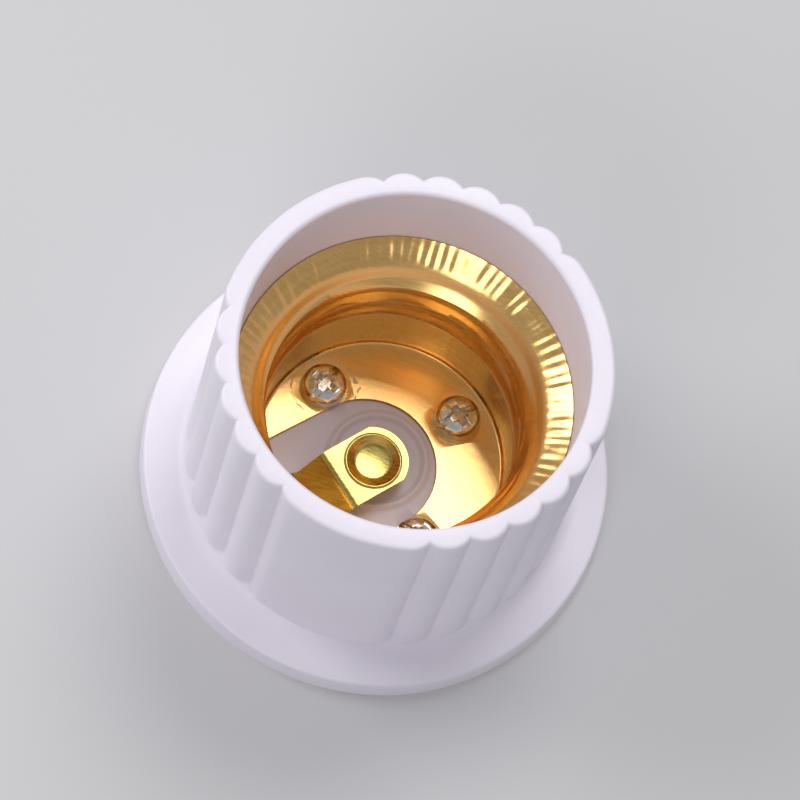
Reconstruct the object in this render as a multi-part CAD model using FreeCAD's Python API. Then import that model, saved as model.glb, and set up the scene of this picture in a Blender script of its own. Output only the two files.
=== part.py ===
"""Surface lamp holder with a large screw shell.

A white moulded holder stands on a round flange. A gold screw shell sits in its well, held by three
screws that pass through the deck into brass inserts in a base plate. A sprung contact tongue reaches
up through a slot in the shell's floor. Two screw terminals lie behind, in the trough of the flange.

Millimetres, +Z up along the lamp's axis, origin on that axis in the plane of the flange's foot.
"""

import FreeCAD, Part
import math
import os

Vector = FreeCAD.Vector
UP = Vector(0, 0, 1)
CENTRE = Vector(0, 0, 0)

# Directions round the axis, in degrees
SLOT_AZIMUTH = 230.0
CONTACT_AZIMUTH = 232.2
SHELL_TERMINAL_AZIMUTH = SLOT_AZIMUTH - 180
SHELL_SCREW_AZIMUTHS = (SLOT_AZIMUTH - 84, SLOT_AZIMUTH + 84, SHELL_TERMINAL_AZIMUTH)
SHELL_SCREW_RECESS_TURNS = (-73.0, 25.0, 1.5)
FLUTE_GROUP_AZIMUTHS = (89.0, -36.0, -144.0)
MOUNT_HOLE_AZIMUTHS = (90.0, 270.0)

# Holder moulding
FLANGE_WIDTH = 4.5
FLANGE_FOOT_WIDTH = 2.0
FLANGE_EDGE_HEIGHT = 2.0
FLANGE_EDGE_DRAFT = 0.25
FLANGE_EDGE_ROUND = 0.3
HOLDER_HEIGHT = 31.8
RIM_WALL = 2.4
RIM_EDGE_ROUND = 0.5
LIP_ROOM = 0.1
TUBE_DRAFT = 0.12
TUBE_WALL = 1.5
COVE_TOP_HEIGHT = 6.5
COVE_TOP_INSET = 1.0
COVE_HOLLOW_DROP = 2.9
COVE_HOLLOW_REACH = 0.8
COVE_FOOT_WIDTH = 1.5
FLUTES_PER_GROUP = 5
FLUTE_PITCH_ANGLE = 12.1
FLUTE_DEPTH = 0.75
WELL_ROOM = 0.35
WELL_WALL = 1.0
NECK_ROOM_DROP = 0.95
FUNNEL_ROOM = 0.25
TROUGH_ROOF_WALL = 1.5
RIB_WALL = 1.2
RIB_TURNS = (45.0, 90.0, 135.0, 225.0, 270.0, 315.0)

# Deck of the well, from the base plate up
DECK_UNDERSIDE = 1.2
DECK_TOP = 2.85
DECK_RING_RADIUS = 5.3
DECK_RING_WALL = 0.9
DECK_RING_HEIGHT = 0.3

# Screw shell, drawn from one sheet
SHEET = 0.35
THREAD_ROOT_RADIUS = 13.6
THREAD_DEPTH = 0.85
THREAD_START = 10.4
THREAD_PITCH = 3.629
THREAD_TURNS = 2
SHELL_CORNER = 0.35
NECK_BEND = 0.5
NECK_BEND_ANGLE = 60.0
NECK_FOOT_RISE = 0.78
RIDGE_RADIUS = 14.55
RIDGE_HEIGHT = 19.6
RIDGE_ROUND = 0.35
LIP_RADIUS = 17.0
LIP_HEIGHT = 21.3
SHELL_SLOT_HALF_WIDTH = 7.1
SHELL_SLOT_OFFSET = 1.35

# Shell screws and their inserts
SHELL_SCREW_CIRCLE = 9.4
SCREW_RADIUS = 1.22
SCREW_HEAD_RADIUS = 2.3
SCREW_HEAD_HEIGHT = 1.5
SCREW_HEAD_EDGE = 0.7
RECESS_WIDTH = 0.7
RECESS_DEPTH = 0.8
CROSS_LENGTH = 2.8
SCREW_CLEARANCE = 0.13
INSERT_RADIUS = 2.1
INSERT_HEIGHT = 1.9
INSERT_ROOM = 0.1
THREAD_FIT = 0.03

# Base plate
BASE_CLEARANCE = 0.2
BASE_THICKNESS = 1.1
MOUNT_HOLE_CIRCLE = 12.0
MOUNT_HOLE_RADIUS = 1.8
MOUNT_SINK_RADIUS = 3.2
MOUNT_HEAD_ROOM_RADIUS = 3.7
MOUNT_HEAD_ROOM_HEIGHT = 1.1
WINDOW_HALF_WIDTH = 3.0

# Contact spring, from the axis outwards, a little beside the slot's middle line
STRIP = 0.4
CONTACT_SHIFT = 0.45
TONGUE_HALF_WIDTH = 3.25
TONGUE_END_RADIUS = 3.6
TONGUE_FOLD = 5.5
TONGUE_TOP = 5.6
DIMPLE_REACH = 1.24
DIMPLE_RADIUS = 2.75
DIMPLE_DEPTH = 0.6
LEG_FOOT = 9.2
LEG_ROOM = 0.3
FOOT_END = 12.1
RIVET_REACH = 10.9
RIVET_RADIUS = 0.9
RIVET_HEAD_RADIUS = 1.5
RIVET_HEAD_HEIGHT = 0.35
RIVET_TAIL_RADIUS = 1.3
RIVET_TAIL_HEIGHT = 0.3

# Terminals in the wall behind the well
POCKET_WELL_WALL = 0.7
POCKET_ROOM = 0.1
TAB_HALF_WIDTH = 2.3
TAB_SIDE_ROOM = 0.2
TAB_RISE_SETBACK = 0.6
TAB_UNDERSIDE = 4.2
TERMINAL_SCREW_RADIUS = 0.78
TERMINAL_HEAD_RADIUS = 1.4
TERMINAL_HEAD_HEIGHT = 1.2
TERMINAL_SLOT_WIDTH = 0.5
TERMINAL_SLOT_DEPTH = 0.5
CLAMP_HALF_LENGTH = 2.2
CLAMP_THICKNESS = 0.6
CLAMP_LIP = 0.25
NUT_HEIGHT = 1.3
TERMINAL_TIP = 0.8
TERMINAL_TIP_ROOM = 0.4
RUNNING_FIT = 0.05
SEAT_ROOM = 0.05
BOSS_HALF_WIDTH = 3.6
EYE_RADIUS = 2.9

# Sizes that follow from those above
RIM_INNER_RADIUS = LIP_RADIUS + LIP_ROOM
RIM_OUTER_RADIUS = RIM_INNER_RADIUS + RIM_WALL
FLANGE_RADIUS = RIM_OUTER_RADIUS + FLANGE_WIDTH
FLANGE_TOP = FLANGE_EDGE_HEIGHT + FLANGE_EDGE_ROUND
BASE_RECESS_RADIUS = FLANGE_RADIUS - FLANGE_FOOT_WIDTH
FLOOR_TOP = DECK_TOP + SHEET
THREAD_CREST_RADIUS = THREAD_ROOT_RADIUS - THREAD_DEPTH
THREAD_END = THREAD_START + THREAD_TURNS * THREAD_PITCH
NECK_FOOT_HEIGHT = THREAD_END + NECK_FOOT_RISE
NECK_SLOPE = (RIDGE_RADIUS - THREAD_ROOT_RADIUS) / (RIDGE_HEIGHT - NECK_FOOT_HEIGHT)
FUNNEL_SLOPE = (LIP_HEIGHT - RIDGE_HEIGHT) / (LIP_RADIUS - RIDGE_RADIUS)
SHELL_FLOOR_RADIUS = THREAD_CREST_RADIUS - SHELL_CORNER
WELL_RADIUS = THREAD_ROOT_RADIUS + SHEET + WELL_ROOM
WELL_OUTER_RADIUS = WELL_RADIUS + WELL_WALL
NECK_ROOM_RADIUS = RIDGE_RADIUS + SHEET + WELL_ROOM
NECK_ROOM_HEIGHT = NECK_FOOT_HEIGHT - NECK_ROOM_DROP
TROUGH_OUTER_RADIUS = RIM_OUTER_RADIUS - TUBE_WALL
TROUGH_ROOF = NECK_ROOM_HEIGHT - TROUGH_ROOF_WALL
CONTACT_STRIP_FLOOR = DECK_TOP - 2 * STRIP
SHELL_STRIP_FLOOR = DECK_TOP - STRIP
POCKET_INNER_REACH = WELL_RADIUS + POCKET_WELL_WALL
POCKET_OUTER_REACH = RIM_OUTER_RADIUS - TUBE_WALL
TAB_RISE_REACH = POCKET_INNER_REACH - TAB_RISE_SETBACK
TERMINAL_REACH = (POCKET_INNER_REACH + POCKET_OUTER_REACH) / 2
CLAMP_HALF_WIDTH = (POCKET_OUTER_REACH - POCKET_INNER_REACH) / 2 - POCKET_ROOM
TERMINAL_SHANK = CLAMP_THICKNESS + STRIP + NUT_HEIGHT + TERMINAL_TIP
OVERRUN = 1.0


def moved(shape, x=0.0, y=0.0, z=0.0):
    """A copy of the shape, shifted."""
    copy = shape.copy()
    copy.translate(Vector(x, y, z))
    return copy


def turned(shape, azimuth):
    """A copy of the shape, turned about the lamp's axis."""
    copy = shape.copy()
    copy.rotate(CENTRE, UP, azimuth)
    return copy


def at_contact(shape):
    """A copy of a shape drawn along +X, placed on the contact's line."""
    return turned(moved(shape, 0, CONTACT_SHIFT), CONTACT_AZIMUTH)


def at_shell_terminal(shape):
    """A copy of a shape drawn along +X, placed on the line of the shell's terminal."""
    return turned(shape, SHELL_TERMINAL_AZIMUTH)


def post(radius, low, high, x=0.0, y=0.0):
    """An upright cylinder between two heights."""
    return Part.makeCylinder(radius, high - low, Vector(x, y, low))


def block(x_low, x_high, half_width, low, high):
    """A box centred on the XZ plane."""
    size = Vector(x_high - x_low, 2 * half_width, high - low)
    return Part.makeBox(size.x, size.y, size.z, Vector(x_low, -half_width, low))


def line(start, end):
    """An edge between two (radius, height) points of the XZ plane."""
    return Part.makeLine(Vector(start[0], 0, start[1]), Vector(end[0], 0, end[1]))


def arc(start, middle, end):
    """A round edge through three (radius, height) points of the XZ plane."""
    points = [Vector(radius, 0, height) for radius, height in (start, middle, end)]
    return Part.Arc(*points).toShape()


def spun(edges):
    """The solid swept by a closed profile of the XZ plane round the axis."""
    face = Part.Face(Part.Wire(Part.__sortEdges__(edges)))
    return face.revolve(CENTRE, UP, 360)


def spun_outline(points):
    """The solid swept by a polygon of (radius, height) points."""
    closed = list(points) + [points[0]]
    return spun([line(closed[i], closed[i + 1]) for i in range(len(points))])


def side_profile(points, half_width):
    """A strip whose side view is a polygon of the XZ plane."""
    closed = [Vector(x, -half_width, z) for x, z in list(points) + [points[0]]]
    return Part.Face(Part.makePolygon(closed)).extrude(Vector(0, 2 * half_width, 0))


def polar(radius, azimuth, height):
    """A point given by its distance from the axis, its direction and its height."""
    angle = math.radians(azimuth)
    return Vector(radius * math.cos(angle), radius * math.sin(angle), height)


def flute_point(radius, crest_azimuth, turn, height):
    """A point of the round scallop whose crest looks along crest_azimuth.

    The scallop's circle passes through its crest and the sharp valleys half a pitch away.
    turn goes from -1 at one valley through 0 at the crest to 1 at the other.
    """
    half_pitch = math.radians(FLUTE_PITCH_ANGLE / 2)
    valley = radius - FLUTE_DEPTH
    centre = (radius ** 2 - valley ** 2) / (2 * (radius - valley * math.cos(half_pitch)))
    scallop = radius - centre
    span = math.atan2(valley * math.sin(half_pitch), valley * math.cos(half_pitch) - centre)
    along = centre + scallop * math.cos(turn * span)
    across = scallop * math.sin(turn * span)
    direction = crest_azimuth + math.degrees(math.atan2(across, along))
    return polar(math.hypot(along, across), direction, height)


def scallop_edge(radius, crest_azimuth, start_turn, end_turn, height):
    """Part of one scallop as a round edge."""
    middle_turn = (start_turn + end_turn) / 2
    turns = (start_turn, middle_turn, end_turn)
    return Part.Arc(*[flute_point(radius, crest_azimuth, turn, height) for turn in turns]).toShape()


def fluted_outline(radius, height):
    """The holder's cross-section: three groups of scallops with plain arcs between."""
    edges = []
    groups = sorted(azimuth % 360 for azimuth in FLUTE_GROUP_AZIMUTHS)
    half_group = FLUTES_PER_GROUP * FLUTE_PITCH_ANGLE / 2 + FLUTE_PITCH_ANGLE / 2
    for index, group in enumerate(groups):
        first = group - half_group
        last = group + half_group
        edges.append(scallop_edge(radius, first, 0, 1, height))
        for flute in range(FLUTES_PER_GROUP):
            crest = first + (flute + 1) * FLUTE_PITCH_ANGLE
            edges.append(scallop_edge(radius, crest, -1, 1, height))
        edges.append(scallop_edge(radius, last, -1, 0, height))
        following = groups[(index + 1) % len(groups)] - half_group
        if following < last:
            following += 360
        middle = (last + following) / 2
        ends = [polar(radius, azimuth, height) for azimuth in (last, middle, following)]
        edges.append(Part.Arc(*ends).toShape())
    return Part.Wire(edges)


def fluted_column():
    """The holder's tube, a little wider at its foot by the mould's draft, with a rounded top edge."""
    foot = fluted_outline(RIM_OUTER_RADIUS + TUBE_DRAFT, FLANGE_EDGE_HEIGHT / 2)
    top = fluted_outline(RIM_OUTER_RADIUS, HOLDER_HEIGHT)
    column = Part.makeLoft([foot, top], True, True)
    reach = RIM_OUTER_RADIUS + TUBE_DRAFT + OVERRUN
    shoulder = RIM_OUTER_RADIUS - RIM_EDGE_ROUND
    drop = HOLDER_HEIGHT - RIM_EDGE_ROUND
    bend = RIM_EDGE_ROUND * math.sqrt(0.5)
    side = RIM_OUTER_RADIUS + TUBE_DRAFT * RIM_EDGE_ROUND / HOLDER_HEIGHT
    crown = spun([
        line((0, 0), (reach, 0)),
        line((reach, 0), (side, drop)),
        arc((side, drop), (shoulder + bend, drop + bend), (shoulder, HOLDER_HEIGHT)),
        line((shoulder, HOLDER_HEIGHT), (0, HOLDER_HEIGHT)),
        line((0, HOLDER_HEIGHT), (0, 0)),
    ])
    return column.common(crown)


def cove():
    """The hollow sweep that leads the flutes of the tube out onto the flange."""
    top_radius = RIM_OUTER_RADIUS - COVE_TOP_INSET
    foot_radius = RIM_OUTER_RADIUS + COVE_FOOT_WIDTH
    poles = [(top_radius, COVE_TOP_HEIGHT), (top_radius, COVE_TOP_HEIGHT - COVE_HOLLOW_DROP),
             (top_radius + COVE_HOLLOW_REACH, FLANGE_TOP), (foot_radius, FLANGE_TOP)]
    curve = Part.BezierCurve()
    curve.setPoles([Vector(radius, 0, height) for radius, height in poles])
    inside = TROUGH_OUTER_RADIUS
    foot = FLANGE_EDGE_HEIGHT / 2
    return spun([
        curve.toShape(),
        line(poles[-1], (foot_radius, foot)),
        line((foot_radius, foot), (inside, foot)),
        line((inside, foot), (inside, COVE_TOP_HEIGHT)),
        line((inside, COVE_TOP_HEIGHT), poles[0]),
    ])


def flange():
    """The round flange with its short upright edge."""
    side = FLANGE_RADIUS - FLANGE_EDGE_DRAFT
    shoulder = side - FLANGE_EDGE_ROUND
    bend = FLANGE_EDGE_ROUND * math.sqrt(0.5)
    return spun([
        line((0, 0), (FLANGE_RADIUS, 0)),
        line((FLANGE_RADIUS, 0), (side, FLANGE_EDGE_HEIGHT)),
        arc((side, FLANGE_EDGE_HEIGHT), (shoulder + bend, FLANGE_EDGE_HEIGHT + bend), (shoulder, FLANGE_TOP)),
        line((shoulder, FLANGE_TOP), (0, FLANGE_TOP)),
        line((0, FLANGE_TOP), (0, 0)),
    ])


def trough():
    """The ring-shaped hollow between the tube and the well, with terminal bosses and ribs left standing."""
    hollow = post(TROUGH_OUTER_RADIUS, -OVERRUN, TROUGH_ROOF)
    hollow = hollow.cut(post(WELL_OUTER_RADIUS, -OVERRUN, TROUGH_ROOF))
    boss = block(WELL_RADIUS, FLANGE_RADIUS, BOSS_HALF_WIDTH, DECK_UNDERSIDE, TROUGH_ROOF)
    hollow = hollow.cut([at_contact(boss), at_shell_terminal(boss)])
    for turn in RIB_TURNS:
        rib = block(WELL_RADIUS, FLANGE_RADIUS, RIB_WALL / 2, DECK_UNDERSIDE, TROUGH_ROOF)
        hollow = hollow.cut(turned(rib, SHELL_TERMINAL_AZIMUTH + turn))
    return hollow


def funnel_height(radius):
    """Height of the underside of the shell's funnel at a distance from the axis."""
    return RIDGE_HEIGHT - SHEET + FUNNEL_SLOPE * (radius - RIDGE_RADIUS)


def well():
    """The space inside the holder above its deck: rim bore, seat for the funnel and well for the shell."""
    mouth = RIM_INNER_RADIUS + RIM_EDGE_ROUND
    drop = HOLDER_HEIGHT - RIM_EDGE_ROUND
    bend = RIM_EDGE_ROUND * (1 - math.sqrt(0.5))
    top = HOLDER_HEIGHT + OVERRUN
    widening = NECK_ROOM_HEIGHT + NECK_ROOM_RADIUS - WELL_RADIUS
    seat_low = funnel_height(NECK_ROOM_RADIUS) - FUNNEL_ROOM
    seat_high = funnel_height(RIM_INNER_RADIUS) - FUNNEL_ROOM
    return spun([
        line((0, DECK_TOP), (WELL_RADIUS, DECK_TOP)),
        line((WELL_RADIUS, DECK_TOP), (WELL_RADIUS, NECK_ROOM_HEIGHT)),
        line((WELL_RADIUS, NECK_ROOM_HEIGHT), (NECK_ROOM_RADIUS, widening)),
        line((NECK_ROOM_RADIUS, widening), (NECK_ROOM_RADIUS, seat_low)),
        line((NECK_ROOM_RADIUS, seat_low), (RIM_INNER_RADIUS, seat_high)),
        line((RIM_INNER_RADIUS, seat_high), (RIM_INNER_RADIUS, drop)),
        arc((RIM_INNER_RADIUS, drop), (RIM_INNER_RADIUS + bend, HOLDER_HEIGHT - bend),
            (mouth, HOLDER_HEIGHT)),
        line((mouth, HOLDER_HEIGHT), (mouth, top)),
        line((mouth, top), (0, top)),
        line((0, top), (0, DECK_TOP)),
    ])


def terminal_pocket(strip_floor, groove_start):
    """Room for a terminal's strip, clamp, screw and nut, drawn along +X."""
    side = TAB_HALF_WIDTH + TAB_SIDE_ROOM
    tab_roof = TAB_UNDERSIDE + STRIP
    nut_side = CLAMP_HALF_WIDTH + SEAT_ROOM
    tip = TAB_UNDERSIDE - CLAMP_THICKNESS + TERMINAL_SHANK + TERMINAL_TIP_ROOM
    return [
        block(POCKET_INNER_REACH, POCKET_OUTER_REACH, side, -OVERRUN, tab_roof),
        block(TAB_RISE_REACH - TAB_SIDE_ROOM, POCKET_INNER_REACH + SEAT_ROOM, side, strip_floor, tab_roof),
        block(groove_start, POCKET_INNER_REACH, side, strip_floor, FLOOR_TOP),
        block(TERMINAL_REACH - nut_side, TERMINAL_REACH + nut_side, nut_side, TAB_UNDERSIDE,
              tab_roof + NUT_HEIGHT),
        post(TERMINAL_SCREW_RADIUS + SCREW_CLEARANCE, TAB_UNDERSIDE, tip, TERMINAL_REACH),
    ]


def holder():
    """The white moulding: flange, fluted tube, well, deck, bosses and ribs in one piece."""
    solid = flange().fuse(fluted_column()).fuse(cove())
    solid = solid.cut(well())
    solid = solid.cut(trough())
    solid = solid.cut(post(BASE_RECESS_RADIUS, -OVERRUN, DECK_UNDERSIDE))
    ring = post(DECK_RING_RADIUS, DECK_TOP - STRIP, DECK_TOP + DECK_RING_HEIGHT)
    ring = ring.cut(post(DECK_RING_RADIUS - DECK_RING_WALL, 0, HOLDER_HEIGHT))
    solid = solid.fuse(ring)
    contact_cuts = terminal_pocket(CONTACT_STRIP_FLOOR, RIVET_REACH - TAB_HALF_WIDTH - TAB_SIDE_ROOM)
    contact_cuts.append(block(LEG_FOOT - STRIP - 2 * LEG_ROOM, LEG_FOOT + LEG_ROOM,
                              TONGUE_HALF_WIDTH + LEG_ROOM, CONTACT_STRIP_FLOOR, FLOOR_TOP))
    contact_cuts.append(post(RIVET_RADIUS, 0, DECK_TOP, RIVET_REACH))
    contact_cuts.append(post(RIVET_TAIL_RADIUS, 0, DECK_UNDERSIDE + RIVET_TAIL_HEIGHT, RIVET_REACH))
    shell_cuts = terminal_pocket(SHELL_STRIP_FLOOR, SHELL_SCREW_CIRCLE)
    shell_cuts.append(post(EYE_RADIUS + TAB_SIDE_ROOM, SHELL_STRIP_FLOOR, FLOOR_TOP, SHELL_SCREW_CIRCLE))
    cuts = [at_contact(shape) for shape in contact_cuts]
    cuts += [at_shell_terminal(shape) for shape in shell_cuts]
    for azimuth in SHELL_SCREW_AZIMUTHS:
        through = post(SCREW_RADIUS + SCREW_CLEARANCE, 0, FLOOR_TOP, SHELL_SCREW_CIRCLE)
        seat = post(INSERT_RADIUS + INSERT_ROOM, 0, INSERT_HEIGHT + INSERT_ROOM, SHELL_SCREW_CIRCLE)
        cuts.append(turned(through.fuse(seat), azimuth))
    for azimuth in MOUNT_HOLE_AZIMUTHS:
        room = post(MOUNT_HEAD_ROOM_RADIUS, 0, DECK_UNDERSIDE + MOUNT_HEAD_ROOM_HEIGHT, MOUNT_HOLE_CIRCLE)
        cuts.append(turned(room, azimuth))
    return solid.cut(cuts).removeSplitter()


def thread_arcs(root, crest):
    """The rolled thread as tangent arcs, from its lowest crest up to its highest."""
    quarter = THREAD_PITCH / 4
    half_depth = (root - crest) / 2
    middle = crest + half_depth
    radius = (quarter ** 2 + half_depth ** 2) / (2 * half_depth)
    angle = math.asin(quarter / radius) / 2
    across = radius * (1 - math.cos(angle))
    along = radius * math.sin(angle)
    edges = []
    for turn in range(THREAD_TURNS):
        low = THREAD_START + turn * THREAD_PITCH
        high = low + THREAD_PITCH
        edges.append(arc((crest, low), (crest + across, low + along), (middle, low + quarter)))
        edges.append(arc((middle, low + quarter), (root, low + 2 * quarter), (middle, low + 3 * quarter)))
        edges.append(arc((middle, low + 3 * quarter), (crest + across, high - along), (crest, high)))
    return edges


def shell_profile(extra):
    """Edges of the shell's inside, or of its outside when extra is the sheet's thickness."""
    crest = THREAD_CREST_RADIUS + extra
    root = THREAD_ROOT_RADIUS + extra
    floor = FLOOR_TOP - extra
    corner = SHELL_CORNER + extra
    bend = corner * (1 - math.sqrt(0.5))
    edges = [
        line((0, floor), (crest - corner, floor)),
        arc((crest - corner, floor), (crest - bend, floor + bend), (crest, floor + corner)),
        line((crest, floor + corner), (crest, THREAD_START)),
    ]
    edges += thread_arcs(root, crest)
    lean = math.radians(NECK_BEND_ANGLE)
    bent = [(crest + NECK_BEND * (1 - math.cos(angle)), THREAD_END + NECK_BEND * math.sin(angle))
            for angle in (0, lean / 2, lean)]
    drop = extra * (1 - FUNNEL_SLOPE) / (1 - NECK_SLOPE * FUNNEL_SLOPE)
    ridge = (RIDGE_RADIUS + extra - NECK_SLOPE * drop, RIDGE_HEIGHT - drop)
    before = (ridge[0] - NECK_SLOPE * RIDGE_ROUND, ridge[1] - RIDGE_ROUND)
    after = (ridge[0] + RIDGE_ROUND, ridge[1] + FUNNEL_SLOPE * RIDGE_ROUND)
    rounded = tuple((start + 2 * middle + end) / 4 for start, middle, end in zip(before, ridge, after))
    lip = (LIP_RADIUS, LIP_HEIGHT - extra)
    edges += [
        arc(*bent),
        line(bent[-1], (root, NECK_FOOT_HEIGHT)),
        line((root, NECK_FOOT_HEIGHT), before),
        arc(before, rounded, after),
        line(after, lip),
    ]
    return edges, lip


def screw_shell():
    """The drawn and rolled screw shell, with its slot and screw holes."""
    inner, inner_end = shell_profile(0)
    outer, outer_end = shell_profile(SHEET)
    edges = inner + outer
    edges.append(line(inner_end, outer_end))
    edges.append(line((0, FLOOR_TOP), (0, FLOOR_TOP - SHEET)))
    solid = spun(edges)
    slot = post(SHELL_SLOT_HALF_WIDTH, 0, FLOOR_TOP + OVERRUN, SHELL_SLOT_OFFSET)
    way = block(SHELL_SLOT_OFFSET, SHELL_FLOOR_RADIUS, SHELL_SLOT_HALF_WIDTH, 0, FLOOR_TOP + OVERRUN)
    slot = slot.fuse(way).common(post(SHELL_FLOOR_RADIUS, 0, THREAD_START))
    cuts = [turned(slot, SLOT_AZIMUTH)]
    for azimuth in SHELL_SCREW_AZIMUTHS:
        hole = post(SCREW_RADIUS + SCREW_CLEARANCE, 0, THREAD_START, SHELL_SCREW_CIRCLE)
        cuts.append(turned(hole, azimuth))
    return solid.cut(cuts)


def shell_screw(azimuth, recess_turn):
    """A pan-head screw with a cross and slot recess, standing on the shell's floor."""
    head_low = FLOOR_TOP
    edge_top = head_low + SCREW_HEAD_EDGE
    head_top = head_low + SCREW_HEAD_HEIGHT
    crown_middle = (SCREW_HEAD_RADIUS * math.sqrt(0.5), head_top - (head_top - edge_top) * 0.35)
    shank_foot = SEAT_ROOM
    screw = spun([
        line((0, shank_foot), (SCREW_RADIUS, shank_foot)),
        line((SCREW_RADIUS, shank_foot), (SCREW_RADIUS, head_low)),
        line((SCREW_RADIUS, head_low), (SCREW_HEAD_RADIUS, head_low)),
        line((SCREW_HEAD_RADIUS, head_low), (SCREW_HEAD_RADIUS, edge_top)),
        arc((SCREW_HEAD_RADIUS, edge_top), crown_middle, (0, head_top)),
        line((0, head_top), (0, shank_foot)),
    ])
    recess_low = head_top - RECESS_DEPTH
    slot = block(-SCREW_HEAD_RADIUS, SCREW_HEAD_RADIUS, RECESS_WIDTH / 2, recess_low, head_top + OVERRUN)
    cross = block(-CROSS_LENGTH / 2, CROSS_LENGTH / 2, RECESS_WIDTH / 2, recess_low, head_top + OVERRUN)
    cross.rotate(CENTRE, UP, 90)
    screw = turned(screw.cut([slot, cross]), recess_turn)
    return turned(moved(screw, SHELL_SCREW_CIRCLE), azimuth)


def insert(azimuth):
    """A brass threaded insert in the base plate."""
    body = post(INSERT_RADIUS, 0, INSERT_HEIGHT).cut(post(SCREW_RADIUS + THREAD_FIT, -OVERRUN, FLOOR_TOP))
    return turned(moved(body, SHELL_SCREW_CIRCLE), azimuth)


def base_plate():
    """The plate that is fixed to the wall first, with mounting holes and terminal windows."""
    plate = post(BASE_RECESS_RADIUS - BASE_CLEARANCE, 0, BASE_THICKNESS)
    cuts = []
    for azimuth in MOUNT_HOLE_AZIMUTHS:
        sink = Part.makeCone(MOUNT_HOLE_RADIUS, MOUNT_SINK_RADIUS, MOUNT_SINK_RADIUS - MOUNT_HOLE_RADIUS,
                             Vector(MOUNT_HOLE_CIRCLE, 0, BASE_THICKNESS / 2))
        hole = post(MOUNT_HOLE_RADIUS, -OVERRUN, BASE_THICKNESS, MOUNT_HOLE_CIRCLE)
        cuts.append(turned(hole.fuse(sink), azimuth))
    for azimuth in SHELL_SCREW_AZIMUTHS:
        hole = post(INSERT_RADIUS, -OVERRUN, BASE_THICKNESS + OVERRUN, SHELL_SCREW_CIRCLE)
        cuts.append(turned(hole, azimuth))
    window = block(POCKET_INNER_REACH, POCKET_OUTER_REACH, WINDOW_HALF_WIDTH,
                   -OVERRUN, BASE_THICKNESS + OVERRUN)
    cuts += [at_contact(window), at_shell_terminal(window)]
    return plate.cut(cuts)


def contact_spring():
    """The bent strip of the centre contact: tongue with its round dish, sloping leg and foot."""
    top = TONGUE_TOP
    low = TONGUE_TOP - STRIP
    foot_top = DECK_TOP
    foot_low = DECK_TOP - STRIP
    lean = STRIP / 2
    end = DIMPLE_REACH - TONGUE_END_RADIUS
    strip = side_profile([
        (end, top), (TONGUE_FOLD, top), (LEG_FOOT + lean, foot_top), (FOOT_END, foot_top),
        (FOOT_END, foot_low), (LEG_FOOT - lean, foot_low), (TONGUE_FOLD - lean, low), (end, low),
    ], TONGUE_HALF_WIDTH)
    nose = post(TONGUE_END_RADIUS, 0, HOLDER_HEIGHT, DIMPLE_REACH)
    shank = block(DIMPLE_REACH, LEG_FOOT, TONGUE_HALF_WIDTH, 0, HOLDER_HEIGHT)
    heel = block(DIMPLE_REACH, FOOT_END, TAB_HALF_WIDTH, 0, HOLDER_HEIGHT)
    strip = strip.common(nose.fuse(shank).fuse(heel))
    strip = strip.cut(post(DIMPLE_RADIUS, 0, HOLDER_HEIGHT, DIMPLE_REACH))
    bottom = top - DIMPLE_DEPTH
    dish_radius = (DIMPLE_RADIUS ** 2 + DIMPLE_DEPTH ** 2) / (2 * DIMPLE_DEPTH)
    half_reach = DIMPLE_RADIUS / 2
    half_drop = dish_radius - math.sqrt(dish_radius ** 2 - half_reach ** 2)
    dish = spun([
        arc((0, bottom), (half_reach, bottom + half_drop), (DIMPLE_RADIUS, top)),
        line((DIMPLE_RADIUS, top), (DIMPLE_RADIUS, low)),
        arc((DIMPLE_RADIUS, low), (half_reach, bottom - STRIP + half_drop), (0, bottom - STRIP)),
        line((0, bottom - STRIP), (0, bottom)),
    ])
    strip = strip.fuse(moved(dish, DIMPLE_REACH))
    strip = strip.cut(post(RIVET_RADIUS, 0, FLOOR_TOP, RIVET_REACH))
    return at_contact(strip)


def terminal_strip(low, start, hole_reach, hole_radius, eye_radius):
    """A bent strip from inside the well, through its wall and up to a terminal's tab, along +X."""
    high = low + STRIP
    tab_top = TAB_UNDERSIDE + STRIP
    tab_end = POCKET_OUTER_REACH - POCKET_ROOM
    strip = side_profile([
        (start, low), (TAB_RISE_REACH + STRIP, low), (TAB_RISE_REACH + STRIP, TAB_UNDERSIDE),
        (tab_end, TAB_UNDERSIDE), (tab_end, tab_top), (TAB_RISE_REACH, tab_top),
        (TAB_RISE_REACH, high), (start, high),
    ], TAB_HALF_WIDTH)
    strip = strip.fuse(post(eye_radius, low, high, hole_reach))
    return strip.cut([
        post(hole_radius, 0, FLOOR_TOP, hole_reach),
        post(TERMINAL_SCREW_RADIUS + SCREW_CLEARANCE, FLOOR_TOP, HOLDER_HEIGHT, TERMINAL_REACH),
    ])


def contact_rivet():
    """The rivet that clamps the spring's foot and the contact's strip to the deck."""
    rivet = spun_outline([
        (0, DECK_UNDERSIDE), (RIVET_TAIL_RADIUS, DECK_UNDERSIDE),
        (RIVET_TAIL_RADIUS, DECK_UNDERSIDE + RIVET_TAIL_HEIGHT),
        (RIVET_RADIUS, DECK_UNDERSIDE + RIVET_TAIL_HEIGHT), (RIVET_RADIUS, DECK_TOP),
        (RIVET_HEAD_RADIUS, DECK_TOP), (RIVET_HEAD_RADIUS * 0.7, DECK_TOP + RIVET_HEAD_HEIGHT),
        (0, DECK_TOP + RIVET_HEAD_HEIGHT),
    ])
    return at_contact(moved(rivet, RIVET_REACH))


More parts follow.
